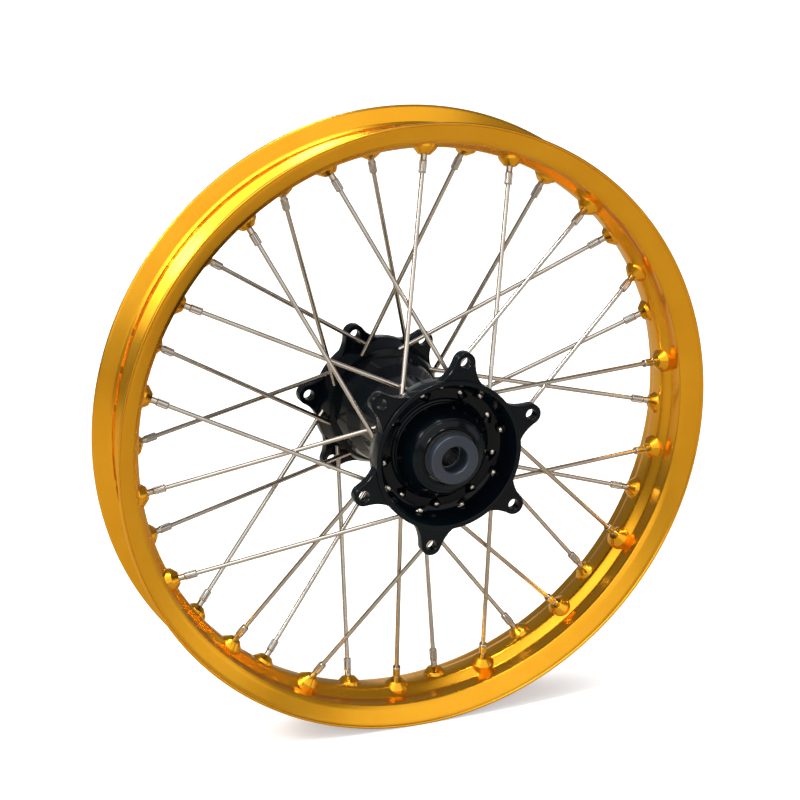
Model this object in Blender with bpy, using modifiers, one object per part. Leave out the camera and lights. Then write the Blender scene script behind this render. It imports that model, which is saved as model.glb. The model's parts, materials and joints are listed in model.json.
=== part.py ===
"""Spoked rear wheel of an off-road motorcycle: rim, hub, 36 spokes, bearings, seals and spacers.

The wheel is drawn in a turning frame whose Z axis is the axle, with the sprocket side at +Z.
One empty lays that frame down, so that in the finished wheel the axle runs along Y, the sprocket
side faces -Y and the wheel's centre is the origin.
"""
import math

import bmesh
import bpy
from mathutils import Matrix, Vector

# ---- driving dimensions, in metres and degrees ----
RIM_RADIUS = 0.24335        # top of the flange that holds the tyre in
RIM_HALF_WIDTH = 0.0344     # wheel's middle to the outside of a flange
FLANGE_HEIGHT = 0.0140      # bead seat to flange top
BEAD_HALF_WIDTH = 0.0260    # wheel's middle to the end of the bead seat
WELL_DEPTH = 0.0080         # bead seat to the bottom of the well
RIM_WALL = 0.0032
HUB_SPROCKET_FACE = 0.0843  # wheel's middle to the lugs' outer face, sprocket side
HUB_DISC_FACE = 0.0660      # the same on the brake disc's side
SPROCKET_BOLT_RADIUS = 0.0720
DISC_BOLT_RADIUS = 0.0597
BOLT_HOLE_RADIUS = 0.0042
SPOKE_RADIUS = 0.00175
BEARING_BORE_RADIUS = 0.0100
BEARING_OUTER_RADIUS = 0.0210
BEARING_WIDTH = 0.0120
SPACER_RADIUS = 0.0192
AXLE_BORE_RADIUS = 0.0104
SPOKES_PER_ROW = 9
LUGS = 6

# ---- clearances ----
GAP = 0.0003                # between pieces that touch on the real wheel
NIPPLE_GAP = 0.0006
SEAL_LIP_GAP = 0.0005

# ---- derived from the rim ----
BEAD_RADIUS = RIM_RADIUS - FLANGE_HEIGHT
WELL_RADIUS = BEAD_RADIUS - WELL_DEPTH
CREST_RADIUS = WELL_RADIUS - RIM_WALL
BAND_EDGE_RADIUS = BEAD_RADIUS + 0.0001
BAND_EDGE_Z = RIM_HALF_WIDTH - 0.40 * FLANGE_HEIGHT
FLANGE_WALL = 0.0022
BOSS_HEIGHT = 0.0045
NIPPLE_RADIUS = CREST_RADIUS - BOSS_HEIGHT + 0.0003   # where a nipple leaves the tip of its boss
VALVE_ANGLE = -127.9
VALVE_HOLE_RADIUS = 0.0044

# ---- derived from the hub faces ----
LUG_THICKNESS = 0.0088
SPROCKET_LUG_BACK = HUB_SPROCKET_FACE - LUG_THICKNESS
DISC_LUG_BACK = HUB_DISC_FACE - LUG_THICKNESS
SPIGOT = 0.0020             # the ring inside the lugs stands this proud and centres the sprocket
SPROCKET_RING_RADIUS = SPROCKET_BOLT_RADIUS - 0.0130
DISC_RING_RADIUS = DISC_BOLT_RADIUS - 0.0080
LUG_TIP_RADIUS = 0.0082
SPROCKET_LUG_ANGLE = 79.0
DISC_LUG_ANGLE = 108.6

# ---- bearings, seals and spacers along the axle ----
SPROCKET_BOSS_END = HUB_SPROCKET_FACE + 0.0037
DISC_BOSS_END = HUB_DISC_FACE + 0.0110
SEAL_WIDTH = 0.0050
SEAL_INSET = 0.0005
CIRCLIP_WIDTH = 0.0014
SEAL_INNER_RADIUS = BEARING_BORE_RADIUS + 0.0052
SEAT_RADIUS = BEARING_OUTER_RADIUS + 0.00015
RACE_OUTER_RADIUS = SEAT_RADIUS - GAP
SPACER_NECK_RADIUS = SEAL_INNER_RADIUS - SEAL_LIP_GAP
SPROCKET_SEAL_IN = SPROCKET_BOSS_END - SEAL_INSET - SEAL_WIDTH
CIRCLIP_OUT = SPROCKET_SEAL_IN - GAP
CIRCLIP_IN = CIRCLIP_OUT - CIRCLIP_WIDTH
SPROCKET_BEARING_OUT = CIRCLIP_IN - GAP
SPROCKET_BEARING_IN = SPROCKET_BEARING_OUT - BEARING_WIDTH
DISC_SEAL_IN = DISC_BOSS_END - SEAL_INSET - SEAL_WIDTH
DISC_BEARING_OUT = DISC_SEAL_IN - GAP
DISC_BEARING_IN = DISC_BEARING_OUT - BEARING_WIDTH
SPROCKET_SPACER_END = SPROCKET_BOSS_END + 0.0086
DISC_SPACER_END = DISC_BOSS_END + 0.0110
COLLAR_GAP = 0.0010
SHOULDER_RADIUS = BEARING_OUTER_RADIUS - 0.0025
TUBE_RADIUS = BEARING_BORE_RADIUS + 0.0030

# ---- the ball bearing's own sizes ----
BALLS = 9
PITCH_RADIUS = (BEARING_BORE_RADIUS + BEARING_OUTER_RADIUS) / 2
BALL_RADIUS = 0.29 * (BEARING_OUTER_RADIUS - BEARING_BORE_RADIUS)
BALL_GAP = BEARING_OUTER_RADIUS / 42   # a faceted race dips in by a share of its radius
GROOVE_RADIUS = BALL_RADIUS + BALL_GAP
RACE_SHOULDER = 0.40 * BALL_RADIUS
CAGE_HALF_THICKNESS = 0.0008
CAGE_HALF_WIDTH = 0.0022

# ---- four rows of spokes: where each leaves the rim and where its head sits in the hub ----
# side: +1 sprocket, -1 disc; lead: degrees from the nipple round to the head
FIRST_NIPPLE_ANGLE = 87.1
NIPPLE_PITCH = 10.0
SPROCKET_HEAD_RADIUS = SPROCKET_BOLT_RADIUS - 0.0250
DISC_HEAD_RADIUS = DISC_BOLT_RADIUS - 0.0177
ROWS = {
    "sprocket_out": {"first": 0, "lead": 49.0, "rim_z": 0.0093, "head_radius": SPROCKET_HEAD_RADIUS,
                     "head_z": HUB_SPROCKET_FACE - 0.0137, "seat": -0.0075},
    "sprocket_in": {"first": 2, "lead": -37.1, "rim_z": 0.0062, "head_radius": SPROCKET_HEAD_RADIUS,
                    "head_z": HUB_SPROCKET_FACE - 0.0207, "seat": 0.0010},
    "disc_in": {"first": 1, "lead": 40.6, "rim_z": -0.0045, "head_radius": DISC_HEAD_RADIUS,
                "head_z": -(HUB_DISC_FACE - 0.0177), "seat": -0.0015},
    "disc_out": {"first": 3, "lead": -45.2, "rim_z": -0.0052, "head_radius": DISC_HEAD_RADIUS,
                 "head_z": -(HUB_DISC_FACE - 0.0098), "seat": -0.0070},
}

# ---- nipple and spoke head, measured along the spoke from the tip of the boss ----
NIPPLE_SEAT = -0.0050
NIPPLE_NECK = 0.0029
NIPPLE_BODY = 0.0034
NIPPLE_END = 0.0140
NIPPLE_HEAD_RADIUS = 0.0046
NIPPLE_HEAD_HEIGHT = 0.0036
HEAD_RADIUS = 2.1 * SPOKE_RADIUS
HEAD_HEIGHT = 0.0026
POCKET_RADIUS = HEAD_RADIUS + 0.0007
SPOKE_HOLE_RADIUS = SPOKE_RADIUS + 0.0005


def wipe():
    for old in list(bpy.data.objects):
        bpy.data.objects.remove(old, do_unlink=True)


def collection(name):
    made = bpy.data.collections.new(name)
    bpy.context.scene.collection.children.link(made)
    return made


def material(name, colour, roughness, metallic):
    made = bpy.data.materials.new(name)
    made.use_nodes = True
    shader = made.node_tree.nodes["Principled BSDF"]
    shader.inputs["Base Color"].default_value = (*colour, 1.0)
    shader.inputs["Roughness"].default_value = roughness
    shader.inputs["Metallic"].default_value = metallic
    made.diffuse_color = (*colour, 1.0)
    return made


def polar(radius, angle, z):
    turn = math.radians(angle)
    return Vector((radius * math.cos(turn), radius * math.sin(turn), z))


def add(name, mesh, where, finish=None):
    made = bpy.data.objects.new(name, mesh)
    where.objects.link(made)
    made.parent = axle_frame
    if finish is not None:
        mesh.materials.clear()
        mesh.materials.append(finish)
    return made


def profile_mesh(name, points, closed):
    """A line of (radius, height) points, ready to be turned about Z."""
    mesh = bpy.data.meshes.new(name)
    edges = [(i, i + 1) for i in range(len(points) - 1)]
    if closed:
        edges.append((len(points) - 1, 0))
    mesh.from_pydata([(r, 0.0, z) for r, z in points], edges, [])
    return mesh


def turned(name, points, steps, where, finish=None, closed=True):
    """A turned piece: the profile runs down the outside from the top and back up the inside."""
    made = add(name, profile_mesh(name, points, closed), where, finish)
    screw = made.modifiers.new("turn", "SCREW")
    screw.axis = "Z"
    screw.angle = math.tau
    screw.steps = steps
    screw.render_steps = steps
    screw.use_merge_vertices = True
    screw.merge_threshold = 0.00005
    screw.use_smooth_shade = True
    return made


def evaluated_mesh(source, name):
    bpy.context.view_layer.update()
    graph = bpy.context.evaluated_depsgraph_get()
    mesh = bpy.data.meshes.new_from_object(source.evaluated_get(graph), depsgraph=graph)
    mesh.name = name
    return mesh


def finished(made):
    """Turn the modifiers into a plain mesh and shade it smooth except at real edges."""
    finish = made.data.materials[0] if made.data.materials else None
    mesh = evaluated_mesh(made, made.name)
    made.modifiers.clear()
    made.data = mesh
    if finish is not None:
        mesh.materials.clear()
        mesh.materials.append(finish)
    mesh.shade_smooth()
    mesh.set_sharp_from_angle(angle=math.radians(30))
    return made


def placed_copies(name, mesh, placements, where):
    """One cutter or boss object made of separate copies of a mesh."""
    work = bmesh.new()
    for place in placements:
        copy = bmesh.new()
        copy.from_mesh(mesh)
        bmesh.ops.transform(copy, matrix=place, verts=copy.verts)
        moved = bpy.data.meshes.new("copy")
        copy.to_mesh(moved)
        copy.free()
        work.from_mesh(moved)
        bpy.data.meshes.remove(moved)
    joined = bpy.data.meshes.new(name)
    work.to_mesh(joined)
    work.free()
    made = add(name, joined, where)
    made.hide_render = True
    made.display_type = "WIRE"
    return made


def boolean(target, tool, operation):
    step = target.modifiers.new(tool.name, "BOOLEAN")
    step.operation = operation
    step.solver = "EXACT"
    step.object = tool


def solid_of_revolution(name, points, steps):
    """The mesh of an open profile that starts and ends on the axis."""
    helper = turned(name, points, steps, cutters, closed=False)
    mesh = evaluated_mesh(helper, name)
    bpy.data.objects.remove(helper, do_unlink=True)
    return mesh


wipe()
wheel = collection("spoked_wheel")
cutters = collection("cutters")
axle_frame = bpy.data.objects.new("axle_frame", None)
wheel.objects.link(axle_frame)
axle_frame.rotation_euler = (math.pi / 2, 0.0, 0.0)

GOLD = material("gold_anodised", (0.72, 0.40, 0.05), 0.28, 1.0)
BLACK = material("black_anodised", (0.016, 0.018, 0.022), 0.30, 0.6)
SPACER_GREY = material("dark_grey_anodised", (0.035, 0.045, 0.060), 0.55, 0.5)
STAINLESS = material("stainless_spoke", (0.60, 0.58, 0.55), 0.30, 1.0)
BEARING_STEEL = material("bearing_steel", (0.55, 0.56, 0.58), 0.20, 1.0)
CAGE_BRASS = material("cage_steel", (0.50, 0.50, 0.50), 0.35, 1.0)
RUBBER = material("seal_rubber", (0.02, 0.02, 0.022), 0.75, 0.0)
ALUMINIUM = material("plain_aluminium", (0.70, 0.71, 0.72), 0.40, 1.0)


# ---- spokes: one axis per spoke, from the tip of its boss to the far side of its head ----
def spoke_axis(row, number):
    data = ROWS[row]
    angle = FIRST_NIPPLE_ANGLE - NIPPLE_PITCH * (data["first"] + 4 * number)
    tip = polar(NIPPLE_RADIUS, angle, data["rim_z"])
    head = polar(data["head_radius"], angle + data["lead"], data["head_z"])
    return tip, head


def along(row, number):
    """The frame of one spoke: origin at the boss tip, Z towards the hub."""
    tip, head = spoke_axis(row, number)
    turn = (head - tip).to_track_quat("Z", "Y")
    return Matrix.Translation(tip) @ turn.to_matrix().to_4x4()


def spoke_length(row):
    tip, head = spoke_axis(row, 0)
    return (head - tip).length + ROWS[row]["seat"]


def spoke_profile(row):
    seat = spoke_length(row)
    start = NIPPLE_SEAT - GAP
    return [
        (0.0, start - NIPPLE_HEAD_HEIGHT),
        (NIPPLE_HEAD_RADIUS, start - 0.40 * NIPPLE_HEAD_HEIGHT),
        (NIPPLE_HEAD_RADIUS, start),
        (NIPPLE_NECK, start),
        (NIPPLE_NECK, 0.32 * NIPPLE_END),
        (NIPPLE_BODY, 0.36 * NIPPLE_END),
        (NIPPLE_BODY, 0.94 * NIPPLE_END),
        (SPOKE_RADIUS, NIPPLE_END),
        (SPOKE_RADIUS, seat + GAP),
        (HEAD_RADIUS, seat + GAP),
        (0.0, seat + GAP + HEAD_HEIGHT),
    ]


for row in ROWS:
    mesh = solid_of_revolution("spoke_" + row, list(reversed(spoke_profile(row))), 6)
    mesh.materials.append(STAINLESS)
    mesh.shade_smooth()
    mesh.set_sharp_from_angle(angle=math.radians(30))
    for number in range(SPOKES_PER_ROW):
        spoke = add(f"spoke_{row}_{number + 1}", mesh, wheel)
        place = along(row, number)
        spoke.location = place.to_translation()
        spoke.rotation_euler = place.to_euler()


# ---- rim ----
def rim_profile():
    edge = BAND_EDGE_Z
    tyre = [
        (RIM_RADIUS, RIM_HALF_WIDTH - 0.0010),
        (RIM_RADIUS - 0.0008, RIM_HALF_WIDTH - FLANGE_WALL - 0.0003),
        (BEAD_RADIUS + 0.0010, edge - FLANGE_WALL),
        (BEAD_RADIUS, BEAD_HALF_WIDTH),
        (BEAD_RADIUS - 0.0003, 0.67 * BEAD_HALF_WIDTH),
        (WELL_RADIUS + 0.20 * WELL_DEPTH, 0.34 * BEAD_HALF_WIDTH),
    ]
    hub = [
        (CREST_RADIUS + 0.09 * WELL_DEPTH, 0.23 * BEAD_HALF_WIDTH),
        (CREST_RADIUS + 0.77 * WELL_DEPTH, 0.64 * BEAD_HALF_WIDTH),
        (BEAD_RADIUS - 1.00 * RIM_WALL, 0.92 * BEAD_HALF_WIDTH),
        (BEAD_RADIUS - 0.45 * RIM_WALL, edge - 0.0009),
        (BAND_EDGE_RADIUS, edge),
        (RIM_RADIUS - 0.0005, RIM_HALF_WIDTH),
    ]
    down = tyre + [(WELL_RADIUS, 0.0)] + [(r, -z) for r, z in reversed(tyre)]
    up = [(r, -z) for r, z in reversed(hub)] + [(CREST_RADIUS, 0.0)] + hub
    return down + up


rim = turned("rim", rim_profile(), 60, wheel, GOLD)
rim_frames = [along(row, number) for row in ROWS for number in range(SPOKES_PER_ROW)]

BOSS_ROOT = -0.0070
boss_profile = [
    (0.0, 0.0),
    (0.0047, 0.0),
    (0.0072, BOSS_ROOT),
    (0.0, BOSS_ROOT),
]
nipple_hole_profile = [
    (0.0, 0.0040),
    (NIPPLE_NECK + NIPPLE_GAP, 0.0040),
    (NIPPLE_NECK + NIPPLE_GAP, NIPPLE_SEAT),
    (NIPPLE_HEAD_RADIUS + 1.4 * NIPPLE_GAP, NIPPLE_SEAT),
    (NIPPLE_HEAD_RADIUS + 1.4 * NIPPLE_GAP, NIPPLE_SEAT - 0.0110),
    (0.0, NIPPLE_SEAT - 0.0110),
]
boss_mesh = solid_of_revolution("boss", boss_profile, 7)
bosses = placed_copies("bosses", boss_mesh, rim_frames, cutters)
hole_mesh = solid_of_revolution("nipple_hole", nipple_hole_profile, 6)
nipple_holes = placed_copies("nipple_holes", hole_mesh, rim_frames, cutters)

valve_profile = [
    (0.0, 0.0100),
    (VALVE_HOLE_RADIUS, 0.0100),
    (VALVE_HOLE_RADIUS, -0.0100),
    (0.0, -0.0100),
]
valve_mesh = solid_of_revolution("valve_hole", valve_profile, 14)
valve_out = polar(1.0, VALVE_ANGLE, 0.0)
valve_turn = valve_out.to_track_quat("Z", "Y").to_matrix().to_4x4() @ Matrix.Rotation(0.1, 4, "Z")
valve_frame = Matrix.Translation(CREST_RADIUS * valve_out) @ valve_turn
valve_hole = placed_copies("valve_holes", valve_mesh, [valve_frame], cutters)

boolean(rim, bosses, "UNION")
boolean(rim, nipple_holes, "DIFFERENCE")
boolean(rim, valve_hole, "DIFFERENCE")


# ---- hub ----
def sprocket_end():
    """The sprocket's end of the hub, from the boss's end out over the dish and back to the waist."""
    face = HUB_SPROCKET_FACE
    ring = SPROCKET_RING_RADIUS
    head = SPROCKET_HEAD_RADIUS
    return [
        (SEAT_RADIUS + 0.0037, SPROCKET_BOSS_END),
        (SEAT_RADIUS + 0.0075, SPROCKET_BOSS_END - 0.0030),
        (head - 0.0125, face - 0.0073),
        (head - 0.0100, face - 0.0168),
        (head - 0.0082, face - 0.0189),
        (head + 0.0052, face - 0.0157),
        (ring - 0.0034, face + SPIGOT),
        (ring, face + SPIGOT),
        (ring, face - LUG_THICKNESS),
        (head + 0.0095, face - 0.0195),
        (head + 0.0040, face - 0.0230),
        (head - 0.0040, face - 0.0270),
        (head - 0.0090, face - 0.0355),
    ]


def disc_end():
    """The brake disc's end of the hub: a steeper dish, because its flange is smaller."""
    face = HUB_DISC_FACE
    ring = DISC_RING_RADIUS
    head = DISC_HEAD_RADIUS
    return [
        (SEAT_RADIUS + 0.0037, DISC_BOSS_END),
        (SEAT_RADIUS + 0.0070, DISC_BOSS_END - 0.0040),
        (head - 0.0092, face - 0.0130),
        (head - 0.0066, face - 0.0182),
        (head + 0.0012, face - 0.0168),
        (head + 0.0046, face - 0.0110),
        (ring - 0.0030, face + SPIGOT),
        (ring, face + SPIGOT),
        (ring, face - LUG_THICKNESS + 0.0010),
        (head + 0.0050, face - 0.0192),
        (head + 0.0010, face - 0.0270),
    ]


def hub_profile():
    waist = [(0.0350, 0.0250), (0.0350, -0.0100)]
    outside = sprocket_end() + waist + [(r, -z) for r, z in reversed(disc_end())]
    inside = [
        (SEAT_RADIUS, -DISC_BOSS_END),
        (SEAT_RADIUS, -(DISC_BEARING_IN - GAP)),
        (SHOULDER_RADIUS, -(DISC_BEARING_IN - GAP)),
        (SHOULDER_RADIUS, -(DISC_BEARING_IN - 0.0040)),
        (0.0280, -(DISC_BEARING_IN - 0.0130)),
        (0.0280, SPROCKET_BEARING_IN - 0.0130),
        (SHOULDER_RADIUS, SPROCKET_BEARING_IN - 0.0040),
        (SHOULDER_RADIUS, SPROCKET_BEARING_IN - GAP),
        (SEAT_RADIUS, SPROCKET_BEARING_IN - GAP),
        (SEAT_RADIUS, CIRCLIP_IN - 0.0002),
        (SEAT_RADIUS + 0.0012, CIRCLIP_IN - 0.0002),
        (SEAT_RADIUS + 0.0012, CIRCLIP_OUT + 0.0002),
        (SEAT_RADIUS, CIRCLIP_OUT + 0.0002),
        (SEAT_RADIUS, SPROCKET_BOSS_END),
    ]
    return outside + inside


hub = turned("hub", hub_profile(), 32, wheel, BLACK)


def lug_plate(name, ring, bolt, base_half_angle, first_angle, z_low, z_high):
    """Six rounded lugs round a ring, cut from plate."""
    outline = []
    for lug in range(LUGS):
        middle = first_angle + lug * 360.0 / LUGS
        centre = polar(bolt, middle, 0.0)
        outline.append(polar(ring - 0.0008, middle - base_half_angle, 0.0))
        outline.append(polar(ring + 0.0030, middle - 0.80 * base_half_angle, 0.0))
        for step in range(5):
            swing = -70.0 + 35.0 * step
            outline.append(centre + polar(LUG_TIP_RADIUS, middle + swing, 0.0))
        outline.append(polar(ring + 0.0030, middle + 0.80 * base_half_angle, 0.0))
        outline.append(polar(ring - 0.0008, middle + base_half_angle, 0.0))
    curve = bpy.data.curves.new(name, "CURVE")
    curve.dimensions = "2D"
    curve.fill_mode = "BOTH"
    curve.extrude = (z_high - z_low) / 2
    spline = curve.splines.new("POLY")
    spline.points.add(len(outline) - 1)
    for vertex, place in zip(spline.points, outline):
        vertex.co = (place.x, place.y, 0.0, 1.0)
    spline.use_cyclic_u = True
    helper = bpy.data.objects.new(name, curve)
    cutters.objects.link(helper)
    helper.parent = axle_frame
    helper.location.z = (z_high + z_low) / 2
    mesh = evaluated_mesh(helper, name)
    place = helper.location.copy()
    bpy.data.objects.remove(helper, do_unlink=True)
    work = bmesh.new()
    work.from_mesh(mesh)
    bmesh.ops.remove_doubles(work, verts=work.verts, dist=0.00001)
    bmesh.ops.recalc_face_normals(work, faces=work.faces)
    work.to_mesh(mesh)
    work.free()
    made = add(name, mesh, cutters)
    made.location = place
    made.hide_render = True
    made.display_type = "WIRE"
    reach = z_high - z_low
    core_profile = [
        (0.0, reach),
        (ring - 0.0016, reach),
        (ring - 0.0016, -reach),
        (0.0, -reach),
    ]
    core_mesh = solid_of_revolution(name + "_core", core_profile, 24)
    core = placed_copies(name + "_core", core_mesh, [Matrix.Translation(place)], cutters)
    boolean(made, core, "DIFFERENCE")
    return made


sprocket_lugs = lug_plate("sprocket_lugs", SPROCKET_RING_RADIUS, SPROCKET_BOLT_RADIUS, 18.0,
                          SPROCKET_LUG_ANGLE, SPROCKET_LUG_BACK, HUB_SPROCKET_FACE)
disc_lugs = lug_plate("disc_lugs", DISC_RING_RADIUS, DISC_BOLT_RADIUS, 22.0,
                      DISC_LUG_ANGLE, -HUB_DISC_FACE, -DISC_LUG_BACK)

lug_hole_profile = [
    (0.0, LUG_THICKNESS),
    (BOLT_HOLE_RADIUS, LUG_THICKNESS),
    (BOLT_HOLE_RADIUS, -LUG_THICKNESS),
    (0.0, -LUG_THICKNESS),
]
lug_hole_mesh = solid_of_revolution("lug_hole", lug_hole_profile, 10)
lug_hole_frames = []
for lug in range(LUGS):
    turn = lug * 360.0 / LUGS
    near = polar(SPROCKET_BOLT_RADIUS, SPROCKET_LUG_ANGLE + turn, HUB_SPROCKET_FACE - LUG_THICKNESS / 2)
    far = polar(DISC_BOLT_RADIUS, DISC_LUG_ANGLE + turn, -HUB_DISC_FACE + LUG_THICKNESS / 2)
    lug_hole_frames.append(Matrix.Translation(near))
    lug_hole_frames.append(Matrix.Translation(far))
lug_holes = placed_copies("lug_holes", lug_hole_mesh, lug_hole_frames, cutters)

boolean(hub, sprocket_lugs, "UNION")
boolean(hub, disc_lugs, "UNION")
boolean(hub, lug_holes, "DIFFERENCE")

for row in ROWS:
    seat = spoke_length(row)
    pocket_profile = [
        (0.0, seat + 0.0080),
        (POCKET_RADIUS, seat + 0.0080),
        (POCKET_RADIUS, seat),
        (SPOKE_HOLE_RADIUS, seat),
        (SPOKE_HOLE_RADIUS, seat - 0.0170),
        (0.0, seat - 0.0170),
    ]
    pocket_mesh = solid_of_revolution("pocket_" + row, pocket_profile, 6)
    frames = [along(row, number) for number in range(SPOKES_PER_ROW)]
    pockets = placed_copies("pockets_" + row, pocket_mesh, frames, cutters)
    boolean(hub, pockets, "DIFFERENCE")

finished(rim)
finished(hub)


# ---- bearings ----
def groove(centre_z, inward):
    """Points of a race's ball groove; inward is +1 for the inner ring and -1 for the outer ring."""
    reach = math.acos((BALL_RADIUS - RACE_SHOULDER) / GROOVE_RADIUS)
    points = []
    for step in range(4):
        swing = -reach + step * reach / 1.5
        r = PITCH_RADIUS - inward * GROOVE_RADIUS * math.cos(swing)
        points.append((r, centre_z + GROOVE_RADIUS * math.sin(swing)))
    return points


def bearing(name, z_low):
    """Inner ring, outer ring and the balls in their cage."""
    middle = z_low + BEARING_WIDTH / 2
    top = z_low + BEARING_WIDTH
    land_in = PITCH_RADIUS - (BALL_RADIUS - RACE_SHOULDER)
    land_out = PITCH_RADIUS + (BALL_RADIUS - RACE_SHOULDER)
    inner = [(land_in, top)] + list(reversed(groove(middle, 1))) + [(land_in, z_low)]
    inner += [(BEARING_BORE_RADIUS, z_low), (BEARING_BORE_RADIUS, top)]
    finished(turned(name + "_inner_ring", inner, 20, wheel, BEARING_STEEL))
    outer = [(RACE_OUTER_RADIUS, top), (RACE_OUTER_RADIUS, z_low), (land_out, z_low)]
    outer += groove(middle, -1) + [(land_out, top)]
    finished(turned(name + "_outer_ring", outer, 20, wheel, BEARING_STEEL))
    band = [
        (PITCH_RADIUS + CAGE_HALF_THICKNESS, middle + CAGE_HALF_WIDTH),
        (PITCH_RADIUS + CAGE_HALF_THICKNESS, middle - CAGE_HALF_WIDTH),
        (PITCH_RADIUS - CAGE_HALF_THICKNESS, middle - CAGE_HALF_WIDTH),
        (PITCH_RADIUS - CAGE_HALF_THICKNESS, middle + CAGE_HALF_WIDTH),
    ]
    cage = turned(name + "_balls", band, 27, wheel, CAGE_BRASS)
    work = bmesh.new()
    bmesh.ops.create_uvsphere(work, u_segments=6, v_segments=4, radius=BALL_RADIUS)
    ball = bpy.data.meshes.new("ball")
    work.to_mesh(ball)
    work.free()
    frames = [Matrix.Translation(polar(PITCH_RADIUS, number * 360.0 / BALLS, middle)) for number in range(BALLS)]
    balls = placed_copies(name + "_ball_set", ball, frames, cutters)
    boolean(cage, balls, "UNION")
    finished(cage)


bearing("sprocket_bearing", SPROCKET_BEARING_IN)
bearing("disc_bearing", -DISC_BEARING_OUT)


# ---- seals, circlip, spacers and the tube between the inner rings ----
def seal(name, z_low):
    top = z_low + SEAL_WIDTH
    lip = SEAL_INNER_RADIUS
    points = [
        (RACE_OUTER_RADIUS, top),
        (RACE_OUTER_RADIUS, z_low),
        (lip + 0.0012, z_low),
        (lip, z_low + 0.4 * SEAL_WIDTH),
        (lip, z_low + 0.6 * SEAL_WIDTH),
        (lip + 0.0012, top),
    ]
    finished(turned(name, points, 20, wheel, RUBBER))


def spacer(name, end, boss_end, ring_face, sign):
    """A collar outside the seal with a neck that runs in to the bearing's inner ring."""
    collar = boss_end + COLLAR_GAP
    neck_end = ring_face + GAP
    points = [
        (SPACER_RADIUS - 0.0006, end),
        (SPACER_RADIUS, end - 0.0006),
        (SPACER_RADIUS, collar),
        (SPACER_NECK_RADIUS, collar),
        (SPACER_NECK_RADIUS, neck_end),
        (AXLE_BORE_RADIUS, neck_end),
        (AXLE_BORE_RADIUS, end - 0.0006),
        (AXLE_BORE_RADIUS + 0.0006, end),
    ]
    if sign < 0:
        points = [(r, -z) for r, z in reversed(points)]
    finished(turned(name, points, 24, wheel, SPACER_GREY))


seal("sprocket_seal", SPROCKET_SEAL_IN)
seal("disc_seal", -(DISC_SEAL_IN + SEAL_WIDTH))
spacer("sprocket_spacer", SPROCKET_SPACER_END, SPROCKET_BOSS_END, SPROCKET_BEARING_OUT, 1)
spacer("disc_spacer", DISC_SPACER_END, DISC_BOSS_END, DISC_BEARING_OUT, -1)

tube_top = SPROCKET_BEARING_IN - GAP
tube_bottom = -(DISC_BEARING_IN - GAP)
tube_profile = [
    (TUBE_RADIUS, tube_top),
    (TUBE_RADIUS, tube_bottom),
    (AXLE_BORE_RADIUS, tube_bottom),
    (AXLE_BORE_RADIUS, tube_top),
]
finished(turned("distance_tube", tube_profile, 20, wheel, ALUMINIUM))

clip_outer = SEAT_RADIUS + 0.0009
clip_inner = SEAT_RADIUS - 0.0022
clip_profile = [
    (clip_outer, CIRCLIP_OUT),
    (clip_outer, CIRCLIP_IN),
    (clip_inner, CIRCLIP_IN),
    (clip_inner, CIRCLIP_OUT),
]
circlip = turned("circlip", clip_profile, 20, wheel, BEARING_STEEL)
work = bmesh.new()
bmesh.ops.create_cube(work, size=1.0)
gap_block = bpy.data.meshes.new("circlip_gap")
work.to_mesh(gap_block)
work.free()
gap_turn = Matrix.Rotation(math.radians(45.0), 4, "Z")
gap_frame = Matrix.Translation(polar(BEARING_OUTER_RADIUS, 45.0, CIRCLIP_IN)) @ gap_turn
gap_frame = gap_frame @ Matrix.Diagonal((0.010, 0.008, 0.008, 1.0))
circlip_gap = placed_copies("circlip_gap_cutter", gap_block, [gap_frame], cutters)
boolean(circlip, circlip_gap, "DIFFERENCE")
finished(circlip)
bpy.context.view_layer.update()
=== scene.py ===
# %% [markdown]
# # A spoked motorcycle rear wheel
# This notebook dresses a wheel whose CAD model, with its bearings and its joint, is already packed.
# It starts by loading that model as a fixed frame. Every piece made below is measured from the same
# frame and rides on one of its bodies, so it turns when the wheel turns.

# %% Load the frame
import json
import math

import bmesh
import bpy
import numpy as np
from mathutils import Matrix, Vector

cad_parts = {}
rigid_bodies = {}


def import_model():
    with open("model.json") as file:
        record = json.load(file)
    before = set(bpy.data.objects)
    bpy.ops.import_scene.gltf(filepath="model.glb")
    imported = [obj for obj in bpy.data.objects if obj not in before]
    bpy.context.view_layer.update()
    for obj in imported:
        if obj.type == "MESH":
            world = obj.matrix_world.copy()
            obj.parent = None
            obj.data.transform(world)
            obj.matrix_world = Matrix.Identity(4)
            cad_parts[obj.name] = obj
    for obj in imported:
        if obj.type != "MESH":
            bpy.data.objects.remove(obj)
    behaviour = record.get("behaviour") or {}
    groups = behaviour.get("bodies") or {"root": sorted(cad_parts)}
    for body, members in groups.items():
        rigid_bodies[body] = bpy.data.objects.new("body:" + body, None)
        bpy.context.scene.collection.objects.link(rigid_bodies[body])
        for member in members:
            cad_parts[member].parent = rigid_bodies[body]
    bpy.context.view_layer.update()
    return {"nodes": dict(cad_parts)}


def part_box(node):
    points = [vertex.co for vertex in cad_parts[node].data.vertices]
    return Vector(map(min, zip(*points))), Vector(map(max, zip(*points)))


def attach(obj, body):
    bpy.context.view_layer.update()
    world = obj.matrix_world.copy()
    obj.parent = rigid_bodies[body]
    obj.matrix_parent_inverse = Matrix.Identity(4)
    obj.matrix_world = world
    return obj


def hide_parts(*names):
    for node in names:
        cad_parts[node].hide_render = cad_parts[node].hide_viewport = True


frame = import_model()

# %% [markdown]
# ## Sizes
# The axle runs along Y, with the sprocket's side towards -Y. It is easier to draw a wheel whose axle
# is Z, so every piece is drawn that way, sprocket side up, and then laid down by a quarter turn.
# These are the sizes that several pieces share. The rim's own size comes from the CAD box.

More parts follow.
